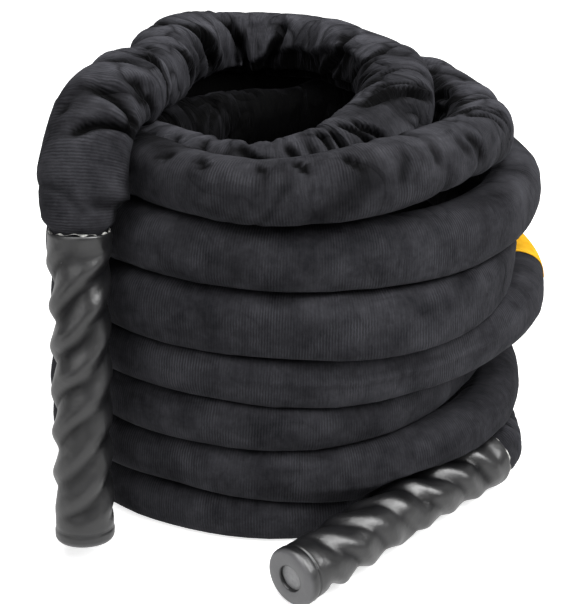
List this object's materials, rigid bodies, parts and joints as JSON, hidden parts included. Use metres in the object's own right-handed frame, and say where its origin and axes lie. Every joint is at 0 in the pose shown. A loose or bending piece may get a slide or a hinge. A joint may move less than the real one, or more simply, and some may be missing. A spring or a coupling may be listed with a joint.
{
  "type": "battle rope",
  "caption": "Training rope in a fabric sleeve, wound into a free-standing coil, with a shrunk-on hand grip at each end",
  "frame": {"origin": "middle of the object's box, at floor level", "axes": "Z is the coil's axis and points up, -Y is the side of the picture with both grips, X runs to the picture's right"},
  "size_m": [0.415, 0.4924, 0.3325],
  "materials": {
    "sleeve_fabric": "matte ribbed weave",
    "rope_fibre": "matte laid fibre",
    "shrink_tube": "semi-gloss",
    "end_disc": "matte",
    "glue": "glossy"
  },
  "bodies": {
    "root": {"fabric_sleeve": "sleeve_fabric", "rope_core": "rope_fibre", "grip_hanging": "shrink_tube", "grip_floor": "shrink_tube", "end_disc_hanging": "end_disc", "end_disc_floor": "end_disc", "glue_bead_hanging": "glue", "glue_bead_floor": "glue"}
  },
  "joints": []
}
